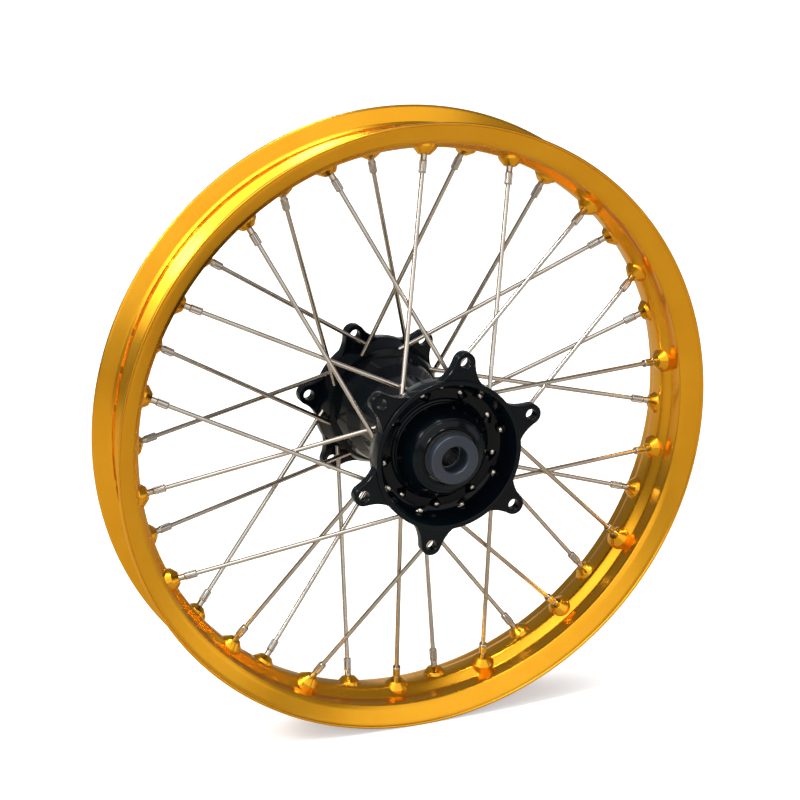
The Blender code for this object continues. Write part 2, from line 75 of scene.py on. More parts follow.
# %% Shared sizes, in metres and degrees
RIM_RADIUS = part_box("rim")[1].z
RIM_HALF_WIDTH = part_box("rim")[1].y
SPROCKET_FACE = 0.0843
DISC_FACE = 0.0660
SPROCKET_BOLTS = 0.0720
DISC_BOLTS = 0.0597
BOLT_HOLE = 0.0042
LUG_THICKNESS = 0.0088
SPOKE_RADIUS = 0.00175
BOSS_TIP = 0.21395
FIRST_NIPPLE = 87.1
VALVE_ANGLE = -127.9
LAID_DOWN = Matrix.Rotation(math.pi / 2, 4, "X")
print("rim", round(2000 * RIM_RADIUS, 1), "mm across and", round(2000 * RIM_HALF_WIDTH, 1), "mm wide")

# %% [markdown]
# ## Helpers for turned pieces
# Most of a wheel is turned on a lathe. A turned piece is one closed section, a list of
# (radius, height, corner radius) points, swept round the axle. Real corners are never perfectly
# sharp, and it is the small radius on each one that catches the light, so the first helper rounds
# each corner with a short arc before the second helper sweeps the section round.

# %% Round the corners of a section
def rounded(corners, arc_steps=4):
    """Points of a closed section whose corners (r, z, radius) are rounded, all in metres."""
    points = []
    count = len(corners)
    for i, (r, z, radius) in enumerate(corners):
        here = Vector((r, z))
        before = Vector(corners[i - 1][:2]) - here
        after = Vector(corners[(i + 1) % count][:2]) - here
        half = before.angle(after) / 2
        reach = min(radius / math.tan(half), 0.49 * before.length, 0.49 * after.length)
        if radius == 0 or reach < 1e-6 or half > 1.565:
            points.append(here)
            continue
        start = here + before.normalized() * reach
        end = here + after.normalized() * reach
        steps = 2 if radius < 0.0006 else arc_steps
        for step in range(steps + 1):
            t = step / steps
            points.append(start * (1 - t) ** 2 + here * 2 * t * (1 - t) + end * t * t)
    return [(p.x, p.y) for p in points]


# %% Split long stretches of a section
def split_long(points, longest):
    """The same closed section with no stretch longer than that."""
    result = []
    for a, b in zip(points, points[1:] + points[:1]):
        parts = max(1, math.ceil(math.dist(a, b) / longest))
        for i in range(parts):
            result.append((a[0] + (b[0] - a[0]) * i / parts, a[1] + (b[1] - a[1]) * i / parts))
    return result


# %% Sweep a section round the axle
def lathe(name, section, angles, closed=True):
    """A mesh made by turning (r, z) points to each angle. An open section must end on the axle."""
    sec = np.array(section)
    turn = np.radians(np.array(angles))
    rings = len(turn)
    count = len(sec)
    x = np.outer(np.cos(turn), sec[:, 0])
    y = np.outer(np.sin(turn), sec[:, 0])
    z = np.outer(np.ones(rings), sec[:, 1])
    verts = np.stack([x, y, z], axis=-1).reshape(-1, 3)
    faces = []
    steps = count if closed else count - 1
    for i in range(rings):
        j = (i + 1) % rings
        for k in range(steps):
            m = (k + 1) % count
            faces.append((i * count + k, i * count + m, j * count + m, j * count + k))
    mesh = bpy.data.meshes.new(name)
    mesh.from_pydata(verts.tolist(), [], faces)
    tidy_mesh(mesh)
    return mesh


def tidy_mesh(mesh, weld=1e-6):
    """Weld what meets, drop faces of no area and turn every face outwards."""
    work = bmesh.new()
    work.from_mesh(mesh)
    bmesh.ops.remove_doubles(work, verts=work.verts, dist=weld)
    bmesh.ops.dissolve_degenerate(work, edges=work.edges, dist=weld)
    bmesh.ops.recalc_face_normals(work, faces=work.faces)
    work.to_mesh(mesh)
    work.free()


def even_angles(steps):
    return [360.0 * i / steps for i in range(steps)]


# %% Put a piece in place
def shade(mesh, sharp):
    """Smooth shading, broken at every edge steeper than that many degrees."""
    mesh.shade_smooth()
    mesh.set_sharp_from_angle(angle=math.radians(sharp))


def piece(name, mesh, material, body, stands_for=(), place=Matrix.Identity(4), sharp=32):
    """Lay a drawn mesh down into the frame, give it its finish and let it ride on a body."""
    made = bpy.data.objects.new(name, mesh)
    bpy.context.scene.collection.objects.link(made)
    made.matrix_world = LAID_DOWN @ place
    if not mesh.materials:  # a mesh that several pieces share is finished once
        shade(mesh, sharp)
        mesh.materials.append(material)
    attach(made, body)
    if stands_for:
        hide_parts(*stands_for)
    return made


def polar(radius, angle, z=0.0):
    """The point at that radius and angle in degrees."""
    turn = math.radians(angle)
    return Vector((radius * math.cos(turn), radius * math.sin(turn), z))


# %% [markdown]
# ## Camera, floor and light
# The camera comes first, because a finish can only be judged from where it will be seen. It stands a
# little left of the wheel and looks slightly down. The wheel stands on a plain pale floor.

# %% Camera
CAMERA_AZIMUTH = math.radians(-22.57)
CAMERA_ELEVATION = math.radians(18.82)
CAMERA_DISTANCE = 2.170
back = Vector((
    math.sin(CAMERA_AZIMUTH) * math.cos(CAMERA_ELEVATION),
    -math.cos(CAMERA_AZIMUTH) * math.cos(CAMERA_ELEVATION),
    math.sin(CAMERA_ELEVATION),
))
camera_data = bpy.data.cameras.new("camera")
camera = bpy.data.objects.new("camera", camera_data)
bpy.context.scene.collection.objects.link(camera)
camera.location = back * CAMERA_DISTANCE
camera.rotation_euler = (-back).to_track_quat("-Z", "Y").to_euler()
camera_data.sensor_width = 36.0
camera_data.lens = 125.7
camera_data.shift_x = -0.00725
camera_data.shift_y = 0.0274
bpy.context.scene.camera = camera

# %% [markdown]
# The floor glows a little, but only for the camera, so that it stays white to its edges. In the metal's
# reflections its colour is darker: painted shade, standing in for the dim edges of a studio sweep beyond
# its lit middle.

# %% Floor
FLOOR_REACH = 6.0
floor_mesh = bpy.data.meshes.new("floor")
floor_corners = [(x * FLOOR_REACH, y * FLOOR_REACH, 0) for x, y in ((-1, -1), (1, -1), (1, 1), (-1, 1))]
floor_mesh.from_pydata(floor_corners, [], [(0, 1, 2, 3)])
floor = bpy.data.objects.new("floor", floor_mesh)
floor.location.z = -RIM_RADIUS
bpy.context.scene.collection.objects.link(floor)
floor_paint = bpy.data.materials.new("floor_paint")
floor_paint.use_nodes = True
floor_tree = floor_paint.node_tree
floor_shader = floor_tree.nodes["Principled BSDF"]
floor_shader.inputs["Roughness"].default_value = 0.9
floor_shader.inputs["Emission Strength"].default_value = 0.42
ray = floor_tree.nodes.new("ShaderNodeLightPath")
# Glossy rays get a darker, warmer floor colour: painted shade seen only in reflections. Camera rays get a
# white glow.
for ray_kind, socket, plain, seen in (
    ("Is Glossy Ray", "Base Color", (0.80, 0.80, 0.80, 1), (0.33, 0.31, 0.26, 1)),
    ("Is Camera Ray", "Emission Color", (0, 0, 0, 1), (1, 1, 1, 1)),
):
    choice = floor_tree.nodes.new("ShaderNodeMix")
    choice.data_type = "RGBA"
    choice.inputs["A"].default_value = plain
    choice.inputs["B"].default_value = seen
    floor_tree.links.new(ray.outputs[ray_kind], choice.inputs["Factor"])
    floor_tree.links.new(choice.outputs["Result"], floor_shader.inputs[socket])
floor_mesh.materials.append(floor_paint)

# %% [markdown]
# The light is a soft studio: wide dim boxes in front, above and on the left, narrow ones on the right
# and behind, and two small strong lamps for the glints. Two more boxes light only the floor and can't
# be seen in the metal. The room between them is dark, because polished metal looks like metal only
# when it has something dark to reflect as well as something bright.

# %% Soft boxes
def soft_box(name, azimuth, elevation, distance, width, height, watts, colour=(1, 1, 1), reflected=True):
    """A rectangular light facing the wheel's middle; azimuth 0 is in front, negative to the left."""
    data = bpy.data.lights.new(name, "AREA")
    data.shape = "RECTANGLE"
    data.size = width
    data.size_y = height
    data.energy = watts
    data.color = colour
    lamp = bpy.data.objects.new(name, data)
    bpy.context.scene.collection.objects.link(lamp)
    a, e = math.radians(azimuth), math.radians(elevation)
    out = Vector((math.sin(a) * math.cos(e), -math.cos(a) * math.cos(e), math.sin(e)))
    lamp.location = out * distance
    lamp.rotation_euler = (-out).to_track_quat("-Z", "Y").to_euler()
    lamp.visible_glossy = reflected
    return lamp


soft_box("front_wall", -6, 24, 3.0, 4.9, 2.5, 38, (1.0, 0.98, 0.95))
soft_box("front_ceiling", -30, 62, 2.6, 2.5, 1.5, 16)
soft_box("floor_wash", 180, 66, 3.0, 3.6, 2.6, 60, (1, 1, 1), False)
soft_box("far_floor_wash", 180, 48, 4.6, 4.6, 3.0, 90, (1, 1, 1), False)
soft_box("left_wall", -67, 42, 2.6, 2.3, 2.4, 27, (1.0, 0.99, 0.97))
soft_box("left_lamp", -76, 40, 2.4, 0.46, 0.50, 30, (1.0, 0.96, 0.90))
soft_box("top_lamp", -12, 79, 2.4, 0.50, 0.46, 26, (1.0, 0.97, 0.93))
soft_box("right_strip", 56, 4, 2.8, 1.3, 1.0, 3.9)
soft_box("back_strip", 166, 12, 3.0, 1.2, 0.8, 2.0)

# %% The room
world = bpy.data.worlds.new("studio")
bpy.context.scene.world = world
world.use_nodes = True
world.node_tree.nodes["Background"].inputs["Color"].default_value = (0.96, 0.98, 1.0, 1)
world.node_tree.nodes["Background"].inputs["Strength"].default_value = 0.24
bpy.context.scene.view_settings.view_transform = "Standard"

# %% [markdown]
# ## Finishes
# Every finish is a Principled shader fed by two shared effects, each a node group built once. Fine
# grain is the faint cloudiness that anodising and rolling leave. Turning marks are the rings a cutter
# leaves round the axle: noise that knows only the radius and the height, not the angle, so it comes
# out as rings.

# %% Node helpers
def new_group(name, inputs, outputs):
    """A shader node group with named inputs (name, socket type, default) and outputs."""
    group = bpy.data.node_groups.new(name, "ShaderNodeTree")
    for label, kind, value in inputs:
        socket = group.interface.new_socket(name=label, in_out="INPUT", socket_type=kind)
        if value is not None:
            socket.default_value = value
    for label, kind in outputs:
        group.interface.new_socket(name=label, in_out="OUTPUT", socket_type=kind)
    start = group.nodes.new("NodeGroupInput")
    end = group.nodes.new("NodeGroupOutput")
    return group, start, end


def math_node(tree, operation, a, b=0.0):
    """A math node; a and b may be sockets or numbers."""
    node = tree.nodes.new("ShaderNodeMath")
    node.operation = operation
    for socket, value in zip(node.inputs, (a, b)):
        if isinstance(value, (int, float)):
            socket.default_value = value
        else:
            tree.links.new(value, socket)
    return node.outputs[0]


def noise_node(tree, vector, scale, detail=3.0, rough=0.55):
    """Plain noise; its scale may be a socket or a number."""
    node = tree.nodes.new("ShaderNodeTexNoise")
    tree.links.new(vector, node.inputs["Vector"])
    if isinstance(scale, (int, float)):
        node.inputs["Scale"].default_value = scale
    else:
        tree.links.new(scale, node.inputs["Scale"])
    node.inputs["Detail"].default_value = detail
    node.inputs["Roughness"].default_value = rough
    return node.outputs[0]


# %% Shared effect: fine grain
FLOAT = "NodeSocketFloat"
COLOUR = "NodeSocketColor"
grain, grain_in, grain_out = new_group(
    "fine_grain",
    [("Scale", FLOAT, 900.0), ("Tone Amount", FLOAT, 0.1), ("Rough Base", FLOAT, 0.3),
     ("Rough Amount", FLOAT, 0.1), ("Light", COLOUR, None), ("Dark", COLOUR, None)],
    [("Color", COLOUR), ("Roughness", FLOAT), ("Height", FLOAT)],
)
place = grain.nodes.new("ShaderNodeTexCoord").outputs["Object"]
cloud = noise_node(grain, place, 22.0, 3.0)
speck = noise_node(grain, place, grain_in.outputs["Scale"], 2.0)
blend = grain.nodes.new("ShaderNodeMix")
blend.data_type = "RGBA"
CLOUD_SHARE, SPECK_SHARE, TONE_CONTRAST = 0.7, 0.3, 4.0
mixed = math_node(grain, "ADD", math_node(grain, "MULTIPLY", cloud, CLOUD_SHARE),
                  math_node(grain, "MULTIPLY", speck, SPECK_SHARE))
swing = math_node(grain, "SUBTRACT", mixed, 0.5)
spread = math_node(grain, "MULTIPLY", swing, grain_in.outputs["Tone Amount"])
factor = math_node(grain, "ADD", math_node(grain, "MULTIPLY", spread, TONE_CONTRAST), 0.5)
grain.links.new(factor, blend.inputs["Factor"])
grain.links.new(grain_in.outputs["Dark"], blend.inputs["A"])
grain.links.new(grain_in.outputs["Light"], blend.inputs["B"])
grain.links.new(blend.outputs["Result"], grain_out.inputs["Color"])
rough_swing = math_node(grain, "MULTIPLY", swing, grain_in.outputs["Rough Amount"])
rough_here = math_node(grain, "ADD", rough_swing, grain_in.outputs["Rough Base"])
grain.links.new(rough_here, grain_out.inputs["Roughness"])
grain.links.new(speck, grain_out.inputs["Height"])

# %% Shared effect: turning marks
marks, marks_in, marks_out = new_group(
    "turning_marks",
    [("Rings per Metre", FLOAT, 2500.0), ("Depth", FLOAT, 0.5)],
    [("Height", FLOAT)],
)
split = marks.nodes.new("ShaderNodeSeparateXYZ")
marks.links.new(marks.nodes.new("ShaderNodeTexCoord").outputs["Object"], split.inputs[0])
x2 = math_node(marks, "MULTIPLY", split.outputs["X"], split.outputs["X"])
y2 = math_node(marks, "MULTIPLY", split.outputs["Y"], split.outputs["Y"])
radius_here = math_node(marks, "SQRT", math_node(marks, "ADD", x2, y2))
ring_place = marks.nodes.new("ShaderNodeCombineXYZ")
marks.links.new(radius_here, ring_place.inputs["X"])
marks.links.new(split.outputs["Z"], ring_place.inputs["Y"])
rings = noise_node(marks, ring_place.outputs[0], marks_in.outputs["Rings per Metre"], 2.0, 0.6)
ring_height = math_node(marks, "MULTIPLY", rings, marks_in.outputs["Depth"])
marks.links.new(ring_height, marks_out.inputs["Height"])


# %% A helper that puts the effects together
BUMP_DISTANCE = 0.0002


def bumped(tree, height, strength, under):
    """A bump node's normal, laid over another normal if there is one."""
    bump = tree.nodes.new("ShaderNodeBump")
    bump.inputs["Distance"].default_value = BUMP_DISTANCE
    bump.inputs["Strength"].default_value = strength
    tree.links.new(height, bump.inputs["Height"])
    if under:
        tree.links.new(under, bump.inputs["Normal"])
    return bump.outputs["Normal"]


def finish_material(name, light, dark, metallic, roughness, rough_amount=0.1, tone=0.6,
                    grain_scale=900.0, grain_bump=0.0, ring_scale=0.0, ring_bump=0.0):
    """A Principled material with grain in its colour and roughness, and rings or grain in its bump."""
    made = bpy.data.materials.new(name)
    made.use_nodes = True
    tree = made.node_tree
    shader = tree.nodes["Principled BSDF"]
    shader.inputs["Metallic"].default_value = metallic
    effect = tree.nodes.new("ShaderNodeGroup")
    effect.node_tree = grain
    effect.inputs["Scale"].default_value = grain_scale
    effect.inputs["Tone Amount"].default_value = tone
    effect.inputs["Rough Base"].default_value = roughness
    effect.inputs["Rough Amount"].default_value = rough_amount
    effect.inputs["Light"].default_value = (*light, 1)
    effect.inputs["Dark"].default_value = (*dark, 1)
    tree.links.new(effect.outputs["Color"], shader.inputs["Base Color"])
    tree.links.new(effect.outputs["Roughness"], shader.inputs["Roughness"])
    normal = None
    if grain_bump:
        normal = bumped(tree, effect.outputs["Height"], grain_bump, normal)
    if ring_bump:
        turned = tree.nodes.new("ShaderNodeGroup")
        turned.node_tree = marks
        turned.inputs["Rings per Metre"].default_value = ring_scale
        turned.inputs["Depth"].default_value = 1.0
        normal = bumped(tree, turned.outputs["Height"], ring_bump, normal)
    if normal:
        tree.links.new(normal, shader.inputs["Normal"])
    return made


# %% Anodised finishes
gold = finish_material(
    "gold_anodised", (0.90, 0.44, 0.028), (0.80, 0.35, 0.017), metallic=1.0, roughness=0.24,
    rough_amount=0.06, tone=0.5, grain_scale=1400.0, grain_bump=0.04, ring_scale=1600.0, ring_bump=0.05)
rolled_gold = finish_material(
    "rolled_gold", (0.58, 0.22, 0.010), (0.34, 0.12, 0.005), metallic=1.0, roughness=0.34,
    rough_amount=0.1, tone=0.8, grain_scale=1800.0, grain_bump=0.08)
black = finish_material(
    "black_anodised", (0.0010, 0.0036, 0.0048), (0.0012, 0.0013, 0.0034), metallic=0.0, roughness=0.15,
    rough_amount=0.06, tone=1.0, grain_scale=1800.0, grain_bump=0.02, ring_scale=2600.0, ring_bump=0.02)
black.node_tree.nodes["Principled BSDF"].inputs["Specular IOR Level"].default_value = 0.17
spacer_grey = finish_material(
    "grey_anodised", (0.020, 0.028, 0.042), (0.014, 0.020, 0.032), metallic=0.1, roughness=0.42,
    rough_amount=0.12, tone=0.8, grain_scale=2600.0, grain_bump=0.05, ring_scale=3200.0, ring_bump=0.06)

# %% Steel, aluminium and rubber
stainless = finish_material(
    "drawn_stainless", (0.60, 0.56, 0.51), (0.44, 0.40, 0.36), metallic=1.0, roughness=0.21,
    rough_amount=0.14, tone=0.8, grain_scale=1500.0, grain_bump=0.05)
nickel = finish_material(
    "plated_nickel", (0.66, 0.63, 0.59), (0.44, 0.41, 0.37), metallic=1.0, roughness=0.18,
    rough_amount=0.12, tone=0.9, grain_scale=1300.0, grain_bump=0.05)
race_steel = finish_material(
    "ground_bearing_steel", (0.58, 0.58, 0.60), (0.46, 0.46, 0.48), metallic=1.0, roughness=0.18,
    rough_amount=0.1, tone=0.7, grain_scale=1500.0, grain_bump=0.02, ring_scale=4000.0, ring_bump=0.03)
cage_finish = finish_material(
    "pressed_cage_steel", (0.52, 0.51, 0.50), (0.40, 0.39, 0.38), metallic=1.0, roughness=0.32,
    rough_amount=0.2, tone=0.8)
rubber = finish_material(
    "seal_rubber", (0.022, 0.022, 0.024), (0.012, 0.012, 0.013), metallic=0.0, roughness=0.62,
    rough_amount=0.2, tone=0.9, grain_scale=2200.0, grain_bump=0.15, ring_scale=2600.0, ring_bump=0.1)
bare_aluminium = finish_material(
    "bare_aluminium", (0.70, 0.70, 0.71), (0.58, 0.58, 0.60), metallic=1.0, roughness=0.34,
    rough_amount=0.2, tone=0.7, grain_scale=1500.0, grain_bump=0.03, ring_scale=3000.0, ring_bump=0.1)

# %% [markdown]
# ## The lacing
# Thirty-six spokes hold the hub inside the rim, nine in each of four rows. Each spoke is straight: its
# head sits in a pocket milled into the hub, and its nipple pulls straight through a raised boss of
# the rim. So one line in space sets a spoke, its nipple, its boss and its pocket, and this cell works
# out those lines once for everything that follows. Each row's entry gives its first nipple, the angle
# from nipple to head, the nipple's height, the head's radius and height, and how far the head sits in.

# %% Where every spoke runs
SPROCKET_HEADS = SPROCKET_BOLTS - 0.0250
DISC_HEADS = DISC_BOLTS - 0.0177
ROWS = {
    "sprocket_out": (0, 49.0, 0.0093, SPROCKET_HEADS, SPROCKET_FACE - 0.0137, -0.0075),
    "sprocket_in": (2, -37.1, 0.0062, SPROCKET_HEADS, SPROCKET_FACE - 0.0207, 0.0010),
    "disc_in": (1, 40.6, -0.0045, DISC_HEADS, -(DISC_FACE - 0.0177), -0.0015),
    "disc_out": (3, -45.2, -0.0052, DISC_HEADS, -(DISC_FACE - 0.0098), -0.0070),
}
spoke_lines = []
for row, (first, lead, rim_z, head_radius, head_z, seat) in ROWS.items():
    for number in range(9):
        angle = FIRST_NIPPLE - 10.0 * (first + 4 * number)
        tip = polar(BOSS_TIP, angle, rim_z)
        head = polar(head_radius, angle + lead, head_z)
        turn = (head - tip).to_track_quat("Z", "Y").to_matrix().to_4x4()
        spoke_lines.append({
            "row": row, "name": f"{row}_{number + 1}", "angle": angle, "tip": tip,
            "along": (head - tip).normalized(), "place": Matrix.Translation(tip) @ turn,
            "seat": (head - tip).length + seat,
        })
print(len(spoke_lines), "spoke lines, each about", round(1000 * spoke_lines[0]["seat"]), "mm long")

# %% [markdown]
# ## The rim
# The rim is one aluminium extrusion bent into a hoop. Its section has two flanges that hold the tyre,
# a bead seat inside each, and a well between them. From the hub's side the well shows as a drop centre
# with a slope and a flat shoulder on either side. Only half the section is written down, from the
# middle outwards and back, and then mirrored.

# %% The rim's section
def mm(*values):
    return tuple(v / 1000 for v in values)


RIM_RINGS = 360
LONGEST_STRETCH = 0.0032
half_section = [
    # drop centre, slope and shoulder, seen from the hub
    mm(218.2, 0.0, 0), mm(218.3, 4.6, 7.0), mm(219.0, 8.2, 4.0), mm(225.4, 14.8, 2.5),
    mm(225.9, 26.4, 2.2), mm(229.2, 28.45, 0.5),
    # the flange's outer face, a fine groove, and its rolled lip
    mm(229.9, 28.85, 0.35), mm(240.9, 33.55, 0.25), mm(241.1, 33.35, 0.1), mm(241.5, 33.9, 0.4),
    mm(242.5, 34.4, 0.8), mm(243.35, 33.7, 0.9), mm(243.35, 32.1, 0.8),
    # back down inside: the flange's inner face, bead seat, hump and well
    mm(241.8, 31.3, 0.8), mm(231.4, 27.4, 2.6), mm(229.3, 25.6, 0.6), mm(229.5, 19.4, 0.3),
    mm(230.1, 18.7, 0.4), mm(229.9, 17.6, 0.5), mm(227.7, 15.4, 1.2), mm(221.6, 8.6, 2.4),
    mm(221.35, 0.0, 0),
]
mirrored = [(r, -z, c) for r, z, c in reversed(half_section[1:-1])]
rim_section = split_long(rounded(half_section + mirrored), LONGEST_STRETCH)
rim_mesh = lathe("rim_hoop", rim_section, even_angles(RIM_RINGS))
print("rim section:", len(rim_section), "points; hoop:", len(rim_mesh.vertices), "points")

# %% [markdown]
# At every spoke the press raises a boss: a short cone with a flat tip, square to the spoke's line. Each
# cone is turned, cut off inside the rim's wall, and joined on by a Boolean, which leaves the crisp
# circle that shows where pressed metal was stretched. Cutters then open the nipple's hole with its
# seat, the valve hole, and the small prints that the press leaves on the near shoulder.

# %% Boolean helpers
def helper_object(mesh):
    """A plain object that stays only until a Boolean has used it."""
    made = bpy.data.objects.new(mesh.name, mesh)
    bpy.context.scene.collection.objects.link(made)
    return made


def applied(target, steps):
    """Run Boolean steps [(tool object, operation)] and keep the result as a plain mesh."""
    for tool, operation in steps:
        step = target.modifiers.new(tool.name, "BOOLEAN")
        step.operation = operation
        step.solver = "EXACT"
        step.object = tool
    bpy.context.view_layer.update()
    graph = bpy.context.evaluated_depsgraph_get()
    mesh = bpy.data.meshes.new_from_object(target.evaluated_get(graph), depsgraph=graph)
    for tool, operation in steps:
        bpy.data.objects.remove(tool, do_unlink=True)
    name = target.name
    bpy.data.objects.remove(target, do_unlink=True)
    mesh.name = name
    return mesh


def copies(mesh, places, name=None):
    """One mesh made of a copy at each place."""
    work = bmesh.new()
    for place in places:
        moved = mesh.copy()
        moved.transform(place)
        work.from_mesh(moved)
        bpy.data.meshes.remove(moved)
    joined = bpy.data.meshes.new(name or mesh.name + "_set")
    work.to_mesh(joined)
    work.free()
    return joined


def joined_meshes(name, meshes):
    """Several meshes as one."""
    work = bmesh.new()
    for mesh in meshes:
        work.from_mesh(mesh)
    joined = bpy.data.meshes.new(name)
    work.to_mesh(joined)
    work.free()
    return joined


def block(name, size):
    """A box round the origin."""
    work = bmesh.new()
    bmesh.ops.create_cube(work, size=1.0)
    bmesh.ops.scale(work, vec=size, verts=work.verts)
    mesh = bpy.data.meshes.new(name)
    work.to_mesh(mesh)
    work.free()
    return mesh


# %% Bosses
def on_rim(radius, angle, z, tilt=0.0):
    """A place on the rim whose X is radial, Y runs along the hoop and Z along the axle."""
    return (Matrix.Rotation(math.radians(angle), 4, "Z") @ Matrix.Translation((radius, 0, z))
            @ Matrix.Rotation(tilt, 4, "Y"))


boss_section = [mm(0, 0, 0), mm(4.8, 0, 0.8), mm(9.3, -4.8, 0.8), mm(10.4, -11.0, 0), mm(0, -11.0, 0)]
boss = lathe("boss", rounded(boss_section), even_angles(48), closed=False)
# everything inside a surface that runs through the middle of the rim's wall
wall_middle = [mm(200, -19, 0), mm(200, 19, 0), mm(226.9, 19, 0), mm(226.9, 15.4, 2), mm(220.3, 7.6, 3),
               mm(220.3, -7.6, 3), mm(226.9, -15.4, 2), mm(226.9, -19, 0)]
wall_ring = lathe("wall_ring", rounded(wall_middle, 3), even_angles(240))
bosses = copies(boss, [line["place"] for line in spoke_lines], "bosses")
bosses = applied(helper_object(bosses), [(helper_object(wall_ring), "INTERSECT")])

# %% Nipple holes, valve hole and press prints
hole_section = [mm(0, 2, 0), mm(2.75, 2, 0), mm(2.75, -5.35, 0), mm(5.1, -5.35, 0), mm(7.2, -14, 0),
                mm(0, -14, 0)]
hole = lathe("nipple_hole", rounded(hole_section, 1), even_angles(24), closed=False)
cutters = [copies(hole, [line["place"] for line in spoke_lines], "nipple_holes")]
valve_section = [mm(0, 205, 0), mm(4.4, 205, 0), mm(4.4, 240, 0), mm(0, 240, 0)]
valve = lathe("valve_hole", rounded(valve_section, 1), even_angles(32), closed=False)
valve.transform(Matrix.Rotation(math.radians(VALVE_ANGLE), 4, "Z") @ Matrix.Rotation(math.pi / 2, 4, "Y"))
cutters.append(valve)
print_mark = block("press_print", mm(0.7, 4.0, 1.1))
PRINT_RADIUS, PRINT_HEIGHT, PRINT_TILT = 0.2252, 0.0226, math.radians(6.5)
print_places = [
    on_rim(PRINT_RADIUS, FIRST_NIPPLE - 20.0 * k, PRINT_HEIGHT, PRINT_TILT) for k in range(18)
]
cutters.append(copies(print_mark, print_places, "press_prints"))
rim_mesh = applied(helper_object(rim_mesh), [
    (helper_object(bosses), "UNION"),
    (helper_object(joined_meshes("rim_cutters", cutters)), "DIFFERENCE"),
])
rim = piece("rim_hoop", rim_mesh, gold, "wheel", ("rim",), sharp=28)
print("rim mesh:", len(rim_mesh.vertices), "points")

# %% [markdown]
# The bead seats are knurled so that the tyre can't creep round the rim: short ridges across the seat,
# rolled on in groups with a gap between them. They are far too fine for the hoop's own mesh, so they
# are a piece of their own, each ridge a small three-sided bar sunk into the seat.

# %% Knurled bead seats
KNURL_GROUPS, KNURL_PITCH, KNURL_SHARE = 48, 0.28, 0.84
SEAT_RADIUS, SEAT_MIDDLE = 0.22945, 0.0223
RIDGE_REACH, RIDGE_END_SLOPE = 0.0031, 0.0004
RIDGE_HALF_WIDTH, RIDGE_HEIGHT, RIDGE_SUNK = 0.00042, 0.00045, 0.0002


def ridge_mesh():
    """One ridge, lying along Z with its crest towards +X."""
    work = bmesh.new()
    ends = []
    for z in (-RIDGE_REACH, RIDGE_REACH):
        crest = z - math.copysign(RIDGE_END_SLOPE, z)
        corners = [(-RIDGE_SUNK, -RIDGE_HALF_WIDTH, z), (RIDGE_HEIGHT, 0.0, crest),
                   (-RIDGE_SUNK, RIDGE_HALF_WIDTH, z)]
        ends.append([work.verts.new(c) for c in corners])
    for i in range(3):
        j = (i + 1) % 3
        work.faces.new((ends[0][i], ends[0][j], ends[1][j], ends[1][i]))
    work.faces.new(ends[0])
    work.faces.new(ends[1])
    bmesh.ops.recalc_face_normals(work, faces=work.faces)
    mesh = bpy.data.meshes.new("knurl_ridge")
    work.to_mesh(mesh)
    work.free()
    return mesh


ridge = ridge_mesh()
group_pitch = 360.0 / KNURL_GROUPS
per_group = int(group_pitch * KNURL_SHARE / KNURL_PITCH)
ridge_angles = [group_pitch * g + KNURL_PITCH * i for g in range(KNURL_GROUPS) for i in range(per_group)]
for side, z in (("sprocket", SEAT_MIDDLE), ("disc", -SEAT_MIDDLE)):
    knurl = copies(ridge, [on_rim(SEAT_RADIUS, angle, z) for angle in ridge_angles])
    piece(side + "_bead_knurl", knurl, rolled_gold, "wheel", sharp=20)
print(2 * KNURL_GROUPS * per_group, "knurl ridges")

# %% [markdown]
# ## Spokes and nipples
# A spoke is a drawn stainless wire with a round head. A nipple is plated brass: a smooth neck that
# passes through the boss, then a splined grip for the spoke key. All nine spokes of a row are the
# same length, so they share one mesh, and all thirty-six nipples share another.

# %% Spoke wire
def spoke_mesh(row, seat):
    """A wire that starts inside its nipple and swells a little before the head it ends in."""
    head = 1.55 * SPOKE_RADIUS
    swell = SPOKE_RADIUS + 0.00018
    section = [
        (0.0, 0.0030, 0), (SPOKE_RADIUS, 0.0030, 0), (SPOKE_RADIUS, seat - 0.016, 0.02),
        (swell, seat - 0.013, 0.02), (swell, seat - 0.0002, 0), (head, seat + 0.0002, 0.0008),
        (head, seat + 0.0030, 0.0020),
        (head * 0.45, seat + 0.0040, 0.0012), (0.0, seat + 0.0041, 0),
    ]
    return lathe("spoke_" + row, rounded(section, 3), even_angles(18), closed=False)


# %% Nipple
SPLINES, SPLINE_DEPTH = 8, 0.075


def nipple_mesh():
    """A nipple: head inside the rim, neck through the boss, and a grip whose splines are cut last."""
    neck, grip = 0.0025, 0.0031
    section = [
        (0.0, -0.0087, 0), (0.0029, -0.0085, 0.0008), (0.0045, -0.0070, 0.0010),
        (0.0045, -0.0056, 0.0003),
        (neck, -0.0054, 0.0002), (neck, 0.0044, 0.0006), (grip, 0.0050, 0.0003), (grip, 0.0053, 0),
        (grip, 0.0132, 0), (grip, 0.0136, 0.0002), (0.0027, 0.0140, 0.0002), (0.0019, 0.0140, 0),
        (0.0018, 0.0132, 0), (0.0, 0.0132, 0),
    ]
    mesh = lathe("nipple", rounded(section, 2), even_angles(48), closed=False)
    co = np.empty(len(mesh.vertices) * 3)
    mesh.vertices.foreach_get("co", co)
    co = co.reshape(-1, 3)
    splined = (co[:, 2] > 0.0052) & (co[:, 2] < 0.0134) & (np.hypot(co[:, 0], co[:, 1]) > 0.0029)
    turn = np.arctan2(co[:, 1], co[:, 0])
    tooth = np.clip(2.2 * np.cos(SPLINES * turn), -1, 1)
    cut = np.where(splined, 1 - SPLINE_DEPTH * (1 - tooth), 1.0)
    co[:, 0] *= cut
    co[:, 1] *= cut
    mesh.vertices.foreach_set("co", co.ravel())
    mesh.update()
    return mesh


